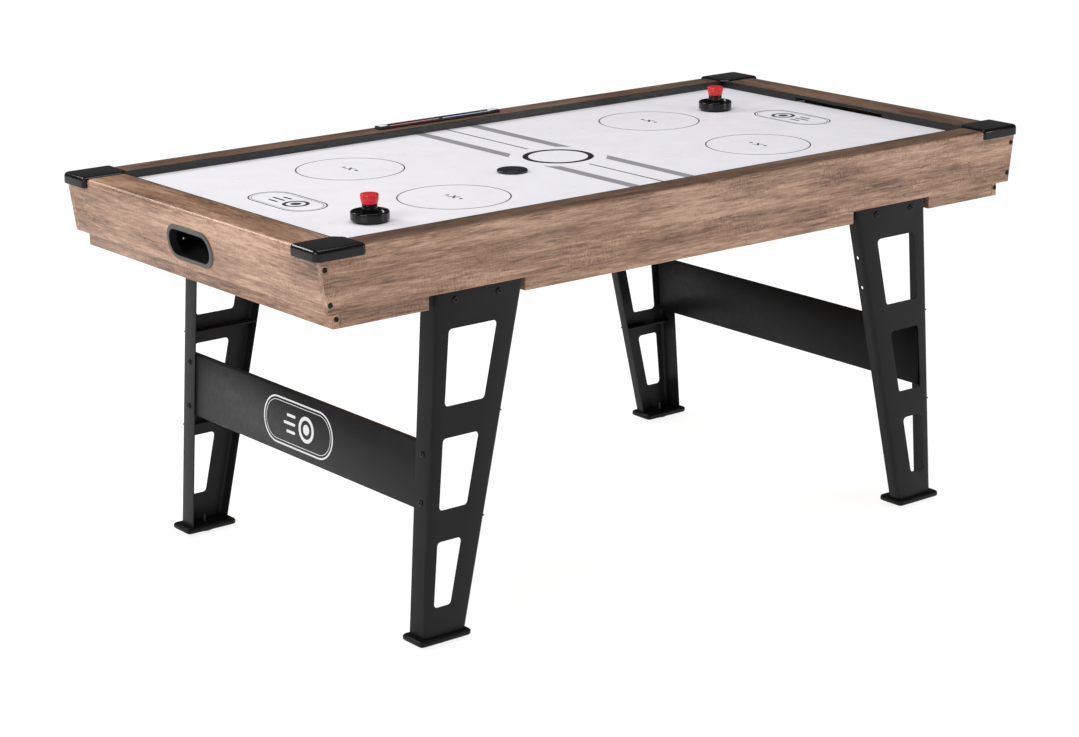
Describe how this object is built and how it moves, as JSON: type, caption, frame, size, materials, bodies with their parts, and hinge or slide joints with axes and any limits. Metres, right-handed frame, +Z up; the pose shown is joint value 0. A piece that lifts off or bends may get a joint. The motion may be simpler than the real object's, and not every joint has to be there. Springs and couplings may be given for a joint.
{
  "type": "air hockey table",
  "caption": "Air hockey table with a white playfield, wood-look rails, black corner caps and slanted windowed steel legs.",
  "frame": {"origin": "on the floor under the middle of the table", "axes": "+X along the table towards its right end, +Y from the front side to the back side with the score counter, +Z up"},
  "size_m": [1.829, 0.919, 0.8468],
  "materials": {
    "wood_laminate": "matte printed oak laminate",
    "raw_board": "raw fibreboard",
    "black_board": "satin black laminate",
    "playfield_white": "semi-gloss white coating",
    "black_rail_metal": "satin black",
    "gloss_black_plastic": "glossy black",
    "matte_black_plastic": "fine-textured black",
    "black_leg_steel": "satin black powder coat",
    "red_plastic": "semi-gloss red",
    "marker_white": "semi-gloss white",
    "felt": "short black felt",
    "motor_steel": "satin steel"
  },
  "bodies": {
    "table": {"air_chamber": "raw_board", "blower_grille": "matte_black_plastic", "blower_housing": "matte_black_plastic", "blower_motor": "motor_steel", "bumper_back": "black_rail_metal", "bumper_front": "black_rail_metal", "bumper_left": "black_rail_metal", "bumper_right": "black_rail_metal", "cabinet_end_left": "wood_laminate", "cabinet_end_right": "wood_laminate", "cabinet_side_back": "wood_laminate", "cabinet_side_front": "wood_laminate", "corner_cap_back_left": "gloss_black_plastic", "corner_cap_back_right": "gloss_black_plastic", "corner_cap_front_left": "gloss_black_plastic", "corner_cap_front_right": "gloss_black_plastic", "end_rail_left": "wood_laminate", "end_rail_right": "wood_laminate", "foot_plate_back_left": "matte_black_plastic", "foot_plate_back_right": "matte_black_plastic", "foot_plate_front_left": "matte_black_plastic", "foot_plate_front_right": "matte_black_plastic", "leg_back_left": "black_leg_steel", "leg_back_right": "black_leg_steel", "leg_beam_left": "raw_board", "leg_beam_right": "raw_board", "leg_front_left": "black_leg_steel", "leg_front_right": "black_leg_steel", "playfield": "playfield_white", "power_box": "matte_black_plastic", "power_inlet": "matte_black_plastic", "return_bezel_left": "matte_black_plastic", "return_bezel_right": "matte_black_plastic", "return_tray_left": "matte_black_plastic", "return_tray_right": "matte_black_plastic", "score_track": "matte_black_plastic", "side_rail_back": "wood_laminate", "side_rail_front": "wood_laminate", "stretcher_left": "black_board", "stretcher_right": "black_board", "support_rib_left": "raw_board", "support_rib_right": "raw_board"},
    "leveler_front_left_body": {"leveler_front_left": "matte_black_plastic"},
    "leveler_back_left_body": {"leveler_back_left": "matte_black_plastic"},
    "leveler_front_right_body": {"leveler_front_right": "matte_black_plastic"},
    "leveler_back_right_body": {"leveler_back_right": "matte_black_plastic"},
    "impeller": {"blower_impeller": "matte_black_plastic"},
    "switch_rocker": {"power_switch": "red_plastic"},
    "score_marker_left_body": {"score_marker_left": "marker_white"},
    "pusher_left": {"pusher_pad_left": "felt", "pusher_base_left": "gloss_black_plastic", "pusher_knob_left": "red_plastic"},
    "score_marker_right_body": {"score_marker_right": "marker_white"},
    "pusher_right": {"pusher_pad_right": "felt", "pusher_base_right": "gloss_black_plastic", "pusher_knob_right": "red_plastic"},
    "puck_body": {"puck": "matte_black_plastic"}
  },
  "joints": [
    {"name": "leveler_front_left_screw", "type": "slide", "parent": "table", "child": "leveler_front_left_body", "axis": [0, 0, -1], "range_m": [0, 0.012]},
    {"name": "leveler_back_left_screw", "type": "slide", "parent": "table", "child": "leveler_back_left_body", "axis": [0, 0, -1], "range_m": [0, 0.012]},
    {"name": "leveler_front_right_screw", "type": "slide", "parent": "table", "child": "leveler_front_right_body", "axis": [0, 0, -1], "range_m": [0, 0.012]},
    {"name": "leveler_back_right_screw", "type": "slide", "parent": "table", "child": "leveler_back_right_body", "axis": [0, 0, -1], "range_m": [0, 0.012]},
    {"name": "impeller_spin", "type": "hinge", "parent": "table", "child": "impeller", "pos_m": [0, 0, 0.7175], "axis": [0, 0, 1], "continuous": true},
    {"name": "power_switch_rock", "type": "hinge", "parent": "table", "child": "switch_rocker", "pos_m": [0.183, 0.36, 0.6925], "axis": [1, 0, 0], "range_deg": [-9, 9]},
    {"name": "score_marker_left_slide", "type": "slide", "parent": "table", "child": "score_marker_left_body", "axis": [1, 0, 0], "range_m": [0, 0.135]},
    {"name": "score_marker_right_slide", "type": "slide", "parent": "table", "child": "score_marker_right_body", "axis": [-1, 0, 0], "range_m": [0, 0.135]},
    {"name": "pusher_left_slide", "type": "slide", "parent": "table", "child": "pusher_left", "axis": [1, 0, 0], "range_m": [-0.125, 0.605]},
    {"name": "pusher_right_slide", "type": "slide", "parent": "table", "child": "pusher_right", "axis": [1, 0, 0], "range_m": [-0.56, 0.17]},
    {"name": "puck_slide", "type": "slide", "parent": "table", "child": "puck_body", "axis": [1, 0, 0], "range_m": [-0.61, 0.95]}
  ]
}
